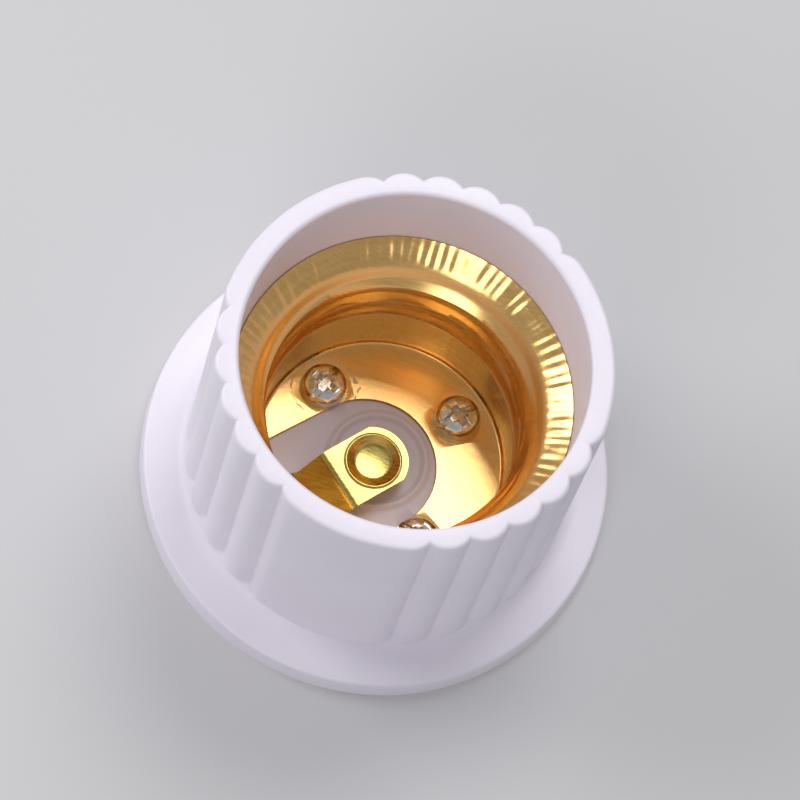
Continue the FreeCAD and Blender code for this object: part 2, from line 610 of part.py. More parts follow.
def terminal_clamp():
    """A clamp washer with turned-up side lips that keep the wire under the screw."""
    low = TAB_UNDERSIDE - CLAMP_THICKNESS
    plate = Part.makeBox(2 * CLAMP_HALF_WIDTH, 2 * CLAMP_HALF_LENGTH, CLAMP_THICKNESS,
                         Vector(-CLAMP_HALF_WIDTH, -CLAMP_HALF_LENGTH, low))
    channel = block(-CLAMP_HALF_WIDTH, CLAMP_HALF_WIDTH, CLAMP_HALF_LENGTH - 2 * CLAMP_LIP,
                    TAB_UNDERSIDE - CLAMP_LIP, TAB_UNDERSIDE)
    plate = plate.cut([channel, post(TERMINAL_SCREW_RADIUS + RUNNING_FIT, 0, HOLDER_HEIGHT)])
    return moved(plate, TERMINAL_REACH)


def terminal_screw():
    """A slotted terminal screw that is driven from behind."""
    head_top = TAB_UNDERSIDE - CLAMP_THICKNESS
    head_low = head_top - TERMINAL_HEAD_HEIGHT
    head = post(TERMINAL_HEAD_RADIUS, head_low, head_top)
    shank = post(TERMINAL_SCREW_RADIUS, head_low, head_top + TERMINAL_SHANK)
    slot = block(-TERMINAL_HEAD_RADIUS, TERMINAL_HEAD_RADIUS, TERMINAL_SLOT_WIDTH / 2,
                 head_low - OVERRUN, head_low + TERMINAL_SLOT_DEPTH)
    return moved(head.fuse(shank).cut(slot).removeSplitter(), TERMINAL_REACH)


def terminal_nut():
    """The square nut above a terminal's tab."""
    low = TAB_UNDERSIDE + STRIP
    nut = block(-CLAMP_HALF_WIDTH, CLAMP_HALF_WIDTH, CLAMP_HALF_WIDTH, low, low + NUT_HEIGHT)
    nut = nut.cut(post(TERMINAL_SCREW_RADIUS + RUNNING_FIT, 0, HOLDER_HEIGHT))
    return moved(nut, TERMINAL_REACH)


def pieces():
    """Every piece of the lamp holder by its node name."""
    contact_strip = terminal_strip(CONTACT_STRIP_FLOOR, LEG_FOOT + STRIP, RIVET_REACH, RIVET_RADIUS,
                                   TAB_HALF_WIDTH)
    shell_strip = terminal_strip(SHELL_STRIP_FLOOR, SHELL_SCREW_CIRCLE, SHELL_SCREW_CIRCLE,
                                 SCREW_RADIUS + SCREW_CLEARANCE, EYE_RADIUS)
    made = {
        "holder_body": holder(),
        "screw_shell": screw_shell(),
        "base_plate": base_plate(),
        "contact_spring": contact_spring(),
        "contact_rivet": contact_rivet(),
    }
    turns = zip(SHELL_SCREW_AZIMUTHS, SHELL_SCREW_RECESS_TURNS)
    for number, (azimuth, recess_turn) in enumerate(turns, start=1):
        made["shell_screw_%d" % number] = shell_screw(azimuth, recess_turn)
        made["base_insert_%d" % number] = insert(azimuth)
    for name, placed, strip in (
        ("contact", at_contact, contact_strip),
        ("shell", at_shell_terminal, shell_strip),
    ):
        made[name + "_strip"] = placed(strip)
        made[name + "_terminal_screw"] = placed(terminal_screw())
        made[name + "_terminal_clamp"] = placed(terminal_clamp())
        made[name + "_terminal_nut"] = placed(terminal_nut())
    return made


os.makedirs("parts", exist_ok=True)
for node, shape in pieces().items():
    shape.exportStep("parts/%s.step" % node)
    print(node, "valid", shape.isValid(), "solids", len(shape.Solids), "volume %.2f" % shape.Volume)
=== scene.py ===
# %% [markdown]
# # A surface lamp socket
# The real object is a white moulded holder with a round flange that sits flat on a wall. Inside its
# fluted tube stands a gold screw shell, held by three small screws, and through a slot in the shell's
# floor a brass tongue reaches up to the lamp's centre contact.
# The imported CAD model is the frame. Every new piece here takes the place of a CAD node and stays where
# that node is, so the joints and the collision model still fit it.

# %% Load the frame
import math

import bmesh
import bpy
from mathutils import Matrix, Vector, noise


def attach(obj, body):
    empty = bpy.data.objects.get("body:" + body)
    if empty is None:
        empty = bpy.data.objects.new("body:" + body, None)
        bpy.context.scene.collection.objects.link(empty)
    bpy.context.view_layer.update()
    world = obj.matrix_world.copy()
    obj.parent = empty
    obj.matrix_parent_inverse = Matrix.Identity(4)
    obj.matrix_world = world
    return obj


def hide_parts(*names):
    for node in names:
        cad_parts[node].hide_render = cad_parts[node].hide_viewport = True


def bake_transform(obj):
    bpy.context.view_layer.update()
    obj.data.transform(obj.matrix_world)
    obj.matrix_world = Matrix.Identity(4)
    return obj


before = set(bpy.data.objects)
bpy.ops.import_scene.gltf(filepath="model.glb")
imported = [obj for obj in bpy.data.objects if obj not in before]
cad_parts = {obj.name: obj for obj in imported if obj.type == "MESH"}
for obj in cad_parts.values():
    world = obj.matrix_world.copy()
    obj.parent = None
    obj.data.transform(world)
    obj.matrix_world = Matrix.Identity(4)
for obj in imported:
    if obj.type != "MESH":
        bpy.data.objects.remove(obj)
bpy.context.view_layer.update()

# %% [markdown]
# ## The camera
# A product picture like this one is taken with a long lens from high above the object. The lens, the
# distance and the height angle come from fitting circles of known shape to the picture, and the roll
# puts the tube's lean where the picture has it. It could be a camera that is aimed at an empty with a
# constraint, but a plain matrix is exact and needs no helper object.

# %% Camera
IMAGE_SIZE = 800.0
SENSOR_WIDTH = 36.0
FOCAL_PIXELS = 4867.24
CAMERA_DISTANCE = 0.49655
CAMERA_HEIGHT_ANGLE = math.radians(69.03)
CAMERA_ROLL = math.radians(20.97)
FOOT_IN_IMAGE = (374.16, 469.68)


def camera_matrix():
    """Where the camera stands and how it is turned, with the socket's foot at its place in the image."""
    cosine = math.cos(CAMERA_HEIGHT_ANGLE)
    sine = math.sin(CAMERA_HEIGHT_ANGLE)
    right = Vector((1, 0, 0))
    forward = Vector((0, cosine, -sine))
    down = forward.cross(right)
    level = Matrix((right, down, forward))
    roll = Matrix.Rotation(CAMERA_ROLL, 3, "Z")
    half = IMAGE_SIZE / 2
    aim = Vector(((FOOT_IN_IMAGE[0] - half) / FOCAL_PIXELS, (FOOT_IN_IMAGE[1] - half) / FOCAL_PIXELS, 1))
    turn = Vector((0, 0, 1)).rotation_difference(aim).to_matrix()
    axes = turn @ roll @ level
    matrix = Matrix((axes[0], -axes[1], -axes[2])).transposed().to_4x4()
    matrix.translation = Vector((0, -CAMERA_DISTANCE * cosine, CAMERA_DISTANCE * sine))
    return matrix


camera_data = bpy.data.cameras.new("camera")
camera_data.sensor_width = SENSOR_WIDTH
camera_data.lens = FOCAL_PIXELS * SENSOR_WIDTH / IMAGE_SIZE
camera_data.clip_start = 0.01
camera = bpy.data.objects.new("camera", camera_data)
camera.matrix_world = camera_matrix()
bpy.context.scene.collection.objects.link(camera)
bpy.context.scene.camera = camera
print("camera lens %.1f mm at" % camera_data.lens, tuple(round(value, 4) for value in camera.location))

# %% [markdown]
# ## Small helpers
# Round pieces start as a wire of a few vertices in the XZ plane. The corners of the wire are bevelled
# first, because a round corner in the wire becomes a round edge all the way round the piece after the
# spin. Everything is modelled in millimetres, and scaled to metres in the one step that makes the
# object, so the numbers read like those on a drawing.

# %% Helpers for turned pieces
MILLIMETRE = 0.001
MERGE_DISTANCE = 1e-5


def wire(points):
    """A closed wire through (radius, height) points, drawn in the XZ plane."""
    mesh = bmesh.new()
    corners = [mesh.verts.new((radius, 0, height)) for radius, height in points]
    for index, corner in enumerate(corners):
        mesh.edges.new((corners[index - 1], corner))
    return mesh


def round_corners(mesh, places, radius, segments):
    """Bevels the wire's corners that lie at the named (radius, height) places."""
    chosen = [corner for corner in mesh.verts
              if any(math.dist((corner.co.x, corner.co.z), place) < MERGE_DISTANCE for place in places)]
    bmesh.ops.bevel(mesh, geom=chosen, offset=radius, offset_type="OFFSET", segments=segments,
                    profile=0.5, affect="VERTICES", clamp_overlap=False, material=-1)


def spin_wire(mesh, steps):
    """Turns the wire once round the Z axis and closes the seam and the poles."""
    bmesh.ops.spin(mesh, geom=mesh.verts[:] + mesh.edges[:], cent=(0, 0, 0), axis=(0, 0, 1),
                   angle=math.tau, steps=steps, use_merge=True, use_duplicate=False)
    bmesh.ops.remove_doubles(mesh, verts=mesh.verts[:], dist=MERGE_DISTANCE)
    bmesh.ops.dissolve_degenerate(mesh, dist=MERGE_DISTANCE, edges=mesh.edges[:])
    bmesh.ops.recalc_face_normals(mesh, faces=mesh.faces[:])
    return mesh


def make_object(mesh, name, smooth_angle=35.0):
    """A Blender object at the origin from a mesh in millimetres, shaded smooth up to an angle."""
    bmesh.ops.scale(mesh, vec=(MILLIMETRE,) * 3, verts=mesh.verts[:])
    data = bpy.data.meshes.new(name)
    mesh.to_mesh(data)
    mesh.free()
    piece = bpy.data.objects.new(name, data)
    bpy.context.scene.collection.objects.link(piece)
    data.shade_smooth()
    data.set_sharp_from_angle(angle=math.radians(smooth_angle))
    return piece


def carve(piece, cutters):
    """Cuts closed cutter objects out of a piece, applies the cut and removes the cutters."""
    for cutter in cutters:
        cut = piece.modifiers.new("cut", "BOOLEAN")
        cut.operation = "DIFFERENCE"
        cut.solver = "EXACT"
        cut.object = cutter
    bpy.context.view_layer.update()
    seen = piece.evaluated_get(bpy.context.evaluated_depsgraph_get())
    carved = bpy.data.meshes.new_from_object(seen)
    piece.modifiers.clear()
    old = piece.data
    piece.data = carved
    carved.name = piece.name
    bpy.data.meshes.remove(old)
    for cutter in cutters:
        bpy.data.objects.remove(cutter)


def box_cutter(x_low, x_high, half_width, low, high, azimuth, shift=0.0):
    """A box between two distances along a direction, moved aside by a shift, as a cutter."""
    mesh = bmesh.new()
    bmesh.ops.create_cube(mesh, size=1)
    bmesh.ops.scale(mesh, vec=(x_high - x_low, 2 * half_width, high - low), verts=mesh.verts[:])
    bmesh.ops.translate(mesh, vec=((x_low + x_high) / 2, shift, (low + high) / 2), verts=mesh.verts[:])
    bmesh.ops.rotate(mesh, cent=(0, 0, 0), matrix=Matrix.Rotation(math.radians(azimuth), 3, "Z"),
                     verts=mesh.verts[:])
    return make_object(mesh, "cutter")


def round_cutter(radius, low, high, reach, azimuth, top_radius=None, steps=64):
    """An upright cylinder, or a cone with another top radius, at a distance along a direction."""
    mesh = bmesh.new()
    bmesh.ops.create_cone(mesh, cap_ends=True, segments=steps, radius1=radius,
                          radius2=top_radius or radius, depth=high - low)
    angle = math.radians(azimuth)
    bmesh.ops.translate(mesh, vec=(reach * math.cos(angle), reach * math.sin(angle), (low + high) / 2),
                        verts=mesh.verts[:])
    return make_object(mesh, "cutter")


# %% [markdown]
# ## The fluted holder
# The holder is one white moulding. Its tube carries three groups of shallow scallops with plain walls
# between them, and a small hollow leads each valley out onto the flange.
# The scallops could be cut one by one, but a turned tube with enough steps only needs each of its outer
# vertices moved inwards by the depth of the scallop at that angle. A smooth maximum with the hollow's
# own profile makes the valleys run out softly at the foot.

# %% Sizes of the holder
FLANGE_RADIUS = 24.0
FLANGE_EDGE_TOP = 23.75
FLANGE_TOP = 2.3
FLANGE_ROUND = 0.3
FOOT_RECESS_RADIUS = 22.0
DECK_UNDERSIDE = 1.2
DECK_TOP = 2.85
HOLDER_HEIGHT = 31.8
TUBE_RADIUS = 19.5
TUBE_FOOT_RADIUS = 19.62
BORE_RADIUS = 17.1
RIM_ROUND = 0.5
WELL_RADIUS = 14.3
NECK_ROOM_RADIUS = 15.25
COVE_POLES = ((18.5, 6.5), (18.5, 3.6), (19.3, 2.3), (21.0, 2.3))
FLUTE_GROUPS = (89.0, -36.0, -144.0)
FLUTE_PITCH = 12.1
FLUTE_DEPTH = 0.75
HALF_GROUP = 3 * FLUTE_PITCH
SLOT_AZIMUTH = 230.0
CONTACT_AZIMUTH = 232.2
CONTACT_SHIFT = 0.45
SHELL_TERMINAL_AZIMUTH = 50.0
SCREW_AZIMUTHS = (146.0, 314.0, 50.0)


def cove_point(share):
    """A point of the hollow between tube and flange, share 0 at its top and 1 at its foot."""
    rest = 1 - share
    weights = (rest ** 3, 3 * share * rest ** 2, 3 * share ** 2 * rest, share ** 3)
    radius = sum(weight * pole[0] for weight, pole in zip(weights, COVE_POLES))
    height = sum(weight * pole[1] for weight, pole in zip(weights, COVE_POLES))
    return radius, height


def cove_radius(height):
    """How far the hollow reaches out at a height, by halving the share until it fits."""
    if height >= COVE_POLES[0][1]:
        return 0.0
    low, high = 0.0, 1.0
    for _ in range(24):
        share = (low + high) / 2
        if cove_point(share)[1] > height:
            low = share
        else:
            high = share
    return cove_point(low)[0]


def tube_radius(height):
    """The plain tube's radius with the mould's draft."""
    return TUBE_RADIUS + (TUBE_FOOT_RADIUS - TUBE_RADIUS) * (HOLDER_HEIGHT - height) / HOLDER_HEIGHT


def smooth_maximum(first, second, softness):
    """The larger of two numbers, with a soft change between them."""
    gap = max(softness - abs(first - second), 0.0) / softness
    return max(first, second) + gap * gap * softness / 4


def scallop_depth(azimuth):
    """How deep the scallops cut into the tube in a direction, in millimetres."""
    for group in FLUTE_GROUPS:
        offset = (azimuth - group + 180) % 360 - 180
        if abs(offset) <= HALF_GROUP:
            break
    else:
        return 0.0
    from_crest = math.radians((offset + FLUTE_PITCH / 2) % FLUTE_PITCH - FLUTE_PITCH / 2)
    half_pitch = math.radians(FLUTE_PITCH / 2)
    valley = TUBE_RADIUS - FLUTE_DEPTH
    centre = (TUBE_RADIUS ** 2 - valley ** 2) / (2 * (TUBE_RADIUS - valley * math.cos(half_pitch)))
    scallop = TUBE_RADIUS - centre
    reach = centre * math.cos(from_crest) + math.sqrt(scallop ** 2 - (centre * math.sin(from_crest)) ** 2)
    return TUBE_RADIUS - reach


print("deepest scallop %.2f mm" % max(scallop_depth(step / 10) for step in range(3600)))

# %% Turn the tube and flange
TUBE_STEPS = 1080
COVE_STEPS = 8
COVE_SOFTNESS = 0.25
MARGIN = 0.01
WALL_HEIGHTS = (2.9, 3.1, 3.35, 3.6, 3.9, 4.2, 4.5, 4.9, 5.3, 5.8, 6.4, 7.2, 9.0, 13.0, 18.0, 24.0, 29.0)
FUNNEL_SEAT = ((BORE_RADIUS, 20.77), (NECK_ROOM_RADIUS, 19.49), (NECK_ROOM_RADIUS, 18.44),
               (WELL_RADIUS, 17.49))


def holder_tube():
    """The holder from its well outwards: flange, hollow, fluted wall, rim, bore and well wall."""
    points = [(FOOT_RECESS_RADIUS, 0), (FLANGE_RADIUS, 0), (FLANGE_EDGE_TOP, FLANGE_TOP)]
    cove = [cove_point(1 - step / COVE_STEPS) for step in range(COVE_STEPS)]
    points += [point for point in cove if point[1] < WALL_HEIGHTS[0] - 2 * MARGIN]
    for height in WALL_HEIGHTS:
        points.append((max(tube_radius(height), cove_radius(height)), height))
    points += [(TUBE_RADIUS, HOLDER_HEIGHT), (BORE_RADIUS, HOLDER_HEIGHT)]
    points += FUNNEL_SEAT
    points += [(WELL_RADIUS, DECK_UNDERSIDE), (FOOT_RECESS_RADIUS, DECK_UNDERSIDE)]
    mesh = wire(points)
    rim = [(TUBE_RADIUS, HOLDER_HEIGHT), (BORE_RADIUS, HOLDER_HEIGHT)]
    round_corners(mesh, rim, RIM_ROUND, segments=6)
    round_corners(mesh, [(FLANGE_EDGE_TOP, FLANGE_TOP)], FLANGE_ROUND, segments=4)
    spin_wire(mesh, TUBE_STEPS)
    inner_limit = TUBE_RADIUS - RIM_ROUND - MARGIN
    outer_limit = COVE_POLES[-1][0] - MARGIN
    for corner in mesh.verts:
        radius = math.hypot(corner.co.x, corner.co.y)
        if radius < inner_limit or radius > outer_limit or corner.co.z < FLANGE_TOP:
            continue
        depth = scallop_depth(math.degrees(math.atan2(corner.co.y, corner.co.x)))
        if depth == 0.0:
            continue
        wanted = min(smooth_maximum(radius - depth, cove_radius(corner.co.z), COVE_SOFTNESS), radius)
        corner.co.x *= wanted / radius
        corner.co.y *= wanted / radius
    return make_object(mesh, "holder_tube", smooth_angle=28.0)


tube = holder_tube()
print("holder_tube has", len(tube.data.polygons), "faces")

# %% [markdown]
# The terminals sit in pockets that open to the back. They are real holes in the moulding, so they are
# cut with the Boolean modifier, which is simplest for a few boxes in a wall.

# %% Terminal pockets in the tube
POCKET = (15.0, 18.0)
POCKET_HALF_WIDTH = 2.5
TAB_ROOF = 4.6
NUT_ROOF = 5.9
NUT_HALF_WIDTH = 1.45
TERMINAL_REACH = 16.5
CONTACT_STRIP_FLOOR = 2.05
SHELL_STRIP_FLOOR = 2.45
TERMINALS = ((CONTACT_AZIMUTH, CONTACT_SHIFT, CONTACT_STRIP_FLOOR),
             (SHELL_TERMINAL_AZIMUTH, 0.0, SHELL_STRIP_FLOOR))
CUTTER_OVERRUN = 1.0
CUTTER_OVERLAP = 0.05

pocket_cutters = []
for azimuth, shift, floor_height in TERMINALS:
    pocket_cutters.append(box_cutter(*POCKET, POCKET_HALF_WIDTH, -CUTTER_OVERRUN, TAB_ROOF, azimuth, shift))
    pocket_cutters.append(box_cutter(WELL_RADIUS - CUTTER_OVERRUN, POCKET[0] + CUTTER_OVERLAP,
                                     POCKET_HALF_WIDTH, floor_height, TAB_ROOF - MARGIN, azimuth, shift))
    pocket_cutters.append(box_cutter(TERMINAL_REACH - NUT_HALF_WIDTH, TERMINAL_REACH + NUT_HALF_WIDTH,
                                     NUT_HALF_WIDTH, TAB_ROOF - CUTTER_OVERRUN, NUT_ROOF, azimuth, shift))
carve(tube, pocket_cutters)
print("holder_tube with pockets has", len(tube.data.polygons), "faces")

# %% [markdown]
# ## The deck
# The deck closes the well under the shell. Through the shell's slot it shows a low soft ring about the
# axis, and grooves for the strips that lead to the terminals. It belongs to the same moulding, but as a
# mesh of its own it takes far fewer faces than the fluted wall.

# %% Deck with its ring and grooves
DECK_STEPS = 192
RING_RADII = (4.2, 5.6)
RING_HEIGHT = 0.32
RING_ROWS = 14
SCREW_CIRCLE = 9.4
SCREW_HOLE_RADIUS = 1.35
EYE_ROOM_RADIUS = 3.1
GROOVE_START = 8.4
LEG_NOTCH = (8.2, 9.5)
LEG_NOTCH_HALF_WIDTH = 3.55


def holder_deck():
    """The deck as a turned disc with a low ring that swells and sinks softly."""
    inner, outer = RING_RADII
    swelling = []
    for step in range(RING_ROWS + 1):
        share = step / RING_ROWS
        rise = RING_HEIGHT * (0.5 - 0.5 * math.cos(math.tau * share))
        swelling.append((outer + (inner - outer) * share, DECK_TOP + rise))
    mesh = wire([(0, DECK_UNDERSIDE), (WELL_RADIUS, DECK_UNDERSIDE), (WELL_RADIUS, DECK_TOP)]
                + swelling + [(0, DECK_TOP)])
    spin_wire(mesh, DECK_STEPS)
    return make_object(mesh, "holder_deck", smooth_angle=30.0)


deck = holder_deck()
deck_top = DECK_TOP + CUTTER_OVERRUN
deck_cutters = [
    box_cutter(GROOVE_START, WELL_RADIUS + CUTTER_OVERRUN, POCKET_HALF_WIDTH, CONTACT_STRIP_FLOOR,
               deck_top, CONTACT_AZIMUTH, CONTACT_SHIFT),
    box_cutter(*LEG_NOTCH, LEG_NOTCH_HALF_WIDTH, CONTACT_STRIP_FLOOR - MARGIN, deck_top,
               CONTACT_AZIMUTH, CONTACT_SHIFT),
    box_cutter(SCREW_CIRCLE, WELL_RADIUS + CUTTER_OVERRUN, POCKET_HALF_WIDTH, SHELL_STRIP_FLOOR,
               deck_top, SHELL_TERMINAL_AZIMUTH),
    round_cutter(EYE_ROOM_RADIUS, SHELL_STRIP_FLOOR, deck_top, SCREW_CIRCLE, SHELL_TERMINAL_AZIMUTH),
]
for azimuth in SCREW_AZIMUTHS:
    deck_cutters.append(round_cutter(SCREW_HOLE_RADIUS, 0, deck_top, SCREW_CIRCLE, azimuth))
carve(deck, deck_cutters)
print("holder_deck has", len(deck.data.polygons), "faces")

# %% [markdown]
# ## The screw shell
# The shell is drawn from thin gold sheet: a flat floor, a smooth lower wall, a thread rolled into the
# wall above it, a short neck and a wide funnel that is crimped in soft uneven ribs.
# Its section is turned as a plain cup first. Then each vertex of the wall moves out by a wave that climbs
# by one pitch in each turn, and that makes a true screw thread from a round body. The same trick with
# many small waves crimps the funnel.

# %% Sizes of the shell
SHEET = 0.35
SHELL_FLOOR = 3.2
SHELL_CORNER = 0.35
CREST_RADIUS = 12.75
ROOT_RADIUS = 13.6
THREAD_PITCH = 3.629
FIRST_CREST = 9.77
THREAD_START_AZIMUTH = -100.0
THREAD_FADE = 50.0
GROOVE_FULLNESS = 0.6
NECK_FOOT = (13.6, 18.44)
NECK_SLOPE = 0.82
LEDGE_SLOPE = 1.73
NECK_SOFTNESS = 0.12
RIDGE = (14.55, 19.6)
RIDGE_ROUND = 0.4
RIDGE_STEPS = 5
LIP = (17.0, 21.3)
FUNNEL_SLOPE = (LIP[1] - RIDGE[1]) / (LIP[0] - RIDGE[0])
SHELL_STEPS = 600
WALL_ROWS = 52
WALL_END_GAPS = (0.1, 0.12)
FUNNEL_ROWS = 9
CRIMPS = 96
RIB_DEPTH = 0.06
DENT_DEPTH = 0.085


def ease(value, low, high):
    """A soft step from 0 at low to 1 at high."""
    share = min(max((value - low) / (high - low), 0.0), 1.0)
    return share * share * (3 - 2 * share)


def wall_radius(height, azimuth):
    """The wall's inner radius: smooth below, a right-hand thread above, and the neck at the top."""
    turned = (azimuth - THREAD_START_AZIMUTH) % 360
    phase = (height - FIRST_CREST) / THREAD_PITCH - (turned + THREAD_START_AZIMUTH) / 360
    groove = 0.0
    if phase > 0:
        groove = (0.5 - 0.5 * math.cos(math.tau * phase)) ** GROOVE_FULLNESS
    if phase < 1:
        groove *= ease(turned, 0, THREAD_FADE)
    thread = CREST_RADIUS + (ROOT_RADIUS - CREST_RADIUS) * groove
    above = height - NECK_FOOT[1]
    neck = NECK_FOOT[0] + above * (NECK_SLOPE if above > 0 else LEDGE_SLOPE)
    return smooth_maximum(thread, neck, NECK_SOFTNESS)


def crimp_wave(radius, azimuth):
    """The soft ribs and uneven dents of the funnel, in millimetres along its face."""
    share = ease(radius, RIDGE[0], RIDGE[0] + 1.0) * (1 - 0.55 * ease(radius, LIP[0] - 0.7, LIP[0]))
    drift = noise.noise(Vector((azimuth / 14, 3.1, 0.7)))
    strength = 0.35 + 0.9 * abs(noise.noise(Vector((azimuth / 11, 6.7, 1.9))))
    ribs = math.sin(math.radians(azimuth) * CRIMPS + 5.0 * drift + 0.5 * (radius - RIDGE[0]))
    dents = noise.noise(Vector((azimuth / 2.6, 8.4, radius * 0.35)))
    return share * (RIB_DEPTH * ribs * strength + DENT_DEPTH * dents)


def ridge_points(depth):
    """The rounded bend between neck and funnel, on the inside or a sheet's depth behind it."""
    drop = depth * (1 - FUNNEL_SLOPE) / (1 - NECK_SLOPE * FUNNEL_SLOPE)
    corner = (RIDGE[0] + depth - NECK_SLOPE * drop, RIDGE[1] - drop)
    before = (corner[0] - NECK_SLOPE * RIDGE_ROUND, corner[1] - RIDGE_ROUND)
    after = (corner[0] + RIDGE_ROUND, corner[1] + FUNNEL_SLOPE * RIDGE_ROUND)
    poles = (before, corner, after)
    points = []
    for step in range(RIDGE_STEPS + 1):
        share = step / RIDGE_STEPS
        weights = ((1 - share) ** 2, 2 * share * (1 - share), share ** 2)
        points.append(tuple(sum(weight * pole[axis] for weight, pole in zip(weights, poles))
                            for axis in (0, 1)))
    return points


def shell_side(depth):
    """One side of the sheet from the axis to the lip, depth 0 inside and a sheet's thickness outside."""
    floor = SHELL_FLOOR - depth
    points = [(0, floor), (CREST_RADIUS + depth, floor)]
    ridge = ridge_points(depth)
    low = SHELL_FLOOR + 2 * SHELL_CORNER + WALL_END_GAPS[0]
    high = ridge[0][1] - WALL_END_GAPS[1]
    for row in range(WALL_ROWS):
        points.append((CREST_RADIUS + depth, low + (high - low) * row / (WALL_ROWS - 1)))
    points += ridge
    lip_height = LIP[1] - depth
    for row in range(1, FUNNEL_ROWS + 1):
        share = row / FUNNEL_ROWS
        points.append((ridge[-1][0] + (LIP[0] - ridge[-1][0]) * share,
                       ridge[-1][1] + (lip_height - ridge[-1][1]) * share))
    return points


def screw_shell():
    """The shell as a turned cup with its thread and crimps pressed in."""
    mesh = wire(shell_side(0) + shell_side(SHEET)[::-1])
    for depth in (0, SHEET):
        place = (CREST_RADIUS + depth, SHELL_FLOOR - depth)
        round_corners(mesh, [place], SHELL_CORNER + depth, segments=5)
    spin_wire(mesh, SHELL_STEPS)
    for corner in mesh.verts:
        radius = math.hypot(corner.co.x, corner.co.y)
        azimuth = math.degrees(math.atan2(corner.co.y, corner.co.x))
        depth = radius - CREST_RADIUS
        on_wall = min(abs(depth), abs(depth - SHEET)) < 0.001
        if on_wall and corner.co.z > SHELL_FLOOR + SHELL_CORNER:
            wanted = wall_radius(corner.co.z, azimuth) + depth
            corner.co.x *= wanted / radius
            corner.co.y *= wanted / radius
        elif radius > RIDGE[0]:
            corner.co.z += crimp_wave(radius, azimuth)
    return make_object(mesh, "screw_shell_gold", smooth_angle=40.0)


shell = screw_shell()
print("screw_shell_gold has", len(shell.data.polygons), "faces")

# %% [markdown]
# The slot and the screw holes are punched. A punch leaves a bright broken edge, so the slot's cutter
# widens a little at the top, and each screw pulls the thin floor down into a shallow seat.

# %% Slot, screw seats and holes in the shell's floor
SLOT_HALF_WIDTH = 7.1
SLOT_OFFSET = 1.35
SLOT_END = 12.3
SLOT_STEPS = 96
EDGE_BREAK = 0.07
SEAT_RADIUS = 2.85
SEAT_SLOPE = 0.5
SEAT_DEPTH = 0.12


def slot_cutter():
    """The floor's slot: a round end about a point near the axis, drawn out to the wall."""
    mesh = bmesh.new()
    bmesh.ops.create_circle(mesh, cap_ends=False, segments=SLOT_STEPS, radius=SLOT_HALF_WIDTH)
    for corner in mesh.verts:
        if corner.co.x > 0.001:
            corner.co.x = math.sqrt(SLOT_END ** 2 - corner.co.y ** 2) - SLOT_OFFSET
    bmesh.ops.translate(mesh, vec=(0, 0, SHELL_FLOOR - SHEET - CUTTER_OVERRUN), verts=mesh.verts[:])
    bmesh.ops.contextual_create(mesh, geom=mesh.edges[:])
    broken = (SLOT_HALF_WIDTH + EDGE_BREAK) / SLOT_HALF_WIDTH
    top = mesh.faces[:]
    rises = (SHEET + CUTTER_OVERRUN - EDGE_BREAK, EDGE_BREAK, CUTTER_OVERRUN)
    for rise, growth in zip(rises, (1, broken, 1)):
        region = top + [edge for face in top for edge in face.edges]
        grown = bmesh.ops.extrude_face_region(mesh, geom=region)
        corners = [item for item in grown["geom"] if isinstance(item, bmesh.types.BMVert)]
        top = [item for item in grown["geom"] if isinstance(item, bmesh.types.BMFace)]
        bmesh.ops.translate(mesh, vec=(0, 0, rise), verts=corners)
        bmesh.ops.scale(mesh, vec=(growth, growth, 1), verts=corners)
    bmesh.ops.translate(mesh, vec=(SLOT_OFFSET, 0, 0), verts=mesh.verts[:])
    bmesh.ops.rotate(mesh, cent=(0, 0, 0), matrix=Matrix.Rotation(math.radians(SLOT_AZIMUTH), 3, "Z"),
                     verts=mesh.verts[:])
    bmesh.ops.recalc_face_normals(mesh, faces=mesh.faces[:])
    return make_object(mesh, "cutter")


shell_cutters = [slot_cutter()]
for azimuth in SCREW_AZIMUTHS:
    shell_cutters.append(round_cutter(SCREW_HOLE_RADIUS, SHELL_FLOOR - 2 * SHEET, SHELL_FLOOR + SHEET,
                                      SCREW_CIRCLE, azimuth, steps=32))
    shell_cutters.append(round_cutter(SEAT_RADIUS - SEAT_SLOPE, SHELL_FLOOR - SEAT_DEPTH,
                                      SHELL_FLOOR + 2 * MARGIN, SCREW_CIRCLE, azimuth, SEAT_RADIUS))
carve(shell, shell_cutters)
print("screw_shell_gold with its slot has", len(shell.data.polygons), "faces")

# %% [markdown]
# ## The shell's screws
# The three pan-head screws have a worn recess that takes a cross-point or a flat blade. A turned head
# with a crowned top gets the recess by a Boolean cut, and the cutter tapers, as a real driver's point
# does.

# %% Screws with a cross and slot recess
HEAD_RADIUS = 2.3
HEAD_FOOT = 0.1
HEAD_EDGE_TOP = 3.9
HEAD_TOP = 4.75
SCREW_END = 0.05
SCREW_SHANK_RADIUS = 1.22
SCREW_STEPS = 72
CROWN = ((0.93, 0.33), (0.78, 0.58), (0.5, 0.78))
CROWN_FLAT = 0.22
RECESS_DEPTH = 0.85
BLADE_THINNING = 0.72
BLADES = ((5.2, 0.85, 1.0, 0), (3.3, 0.9, 0.5, 90), (2.9, 1.2, 0.4, 0))
SCREW_NAMES = ("shell_screw_1", "shell_screw_2", "shell_screw_3")
BLADE_ANGLES = (73.0, 339.0, 51.5)


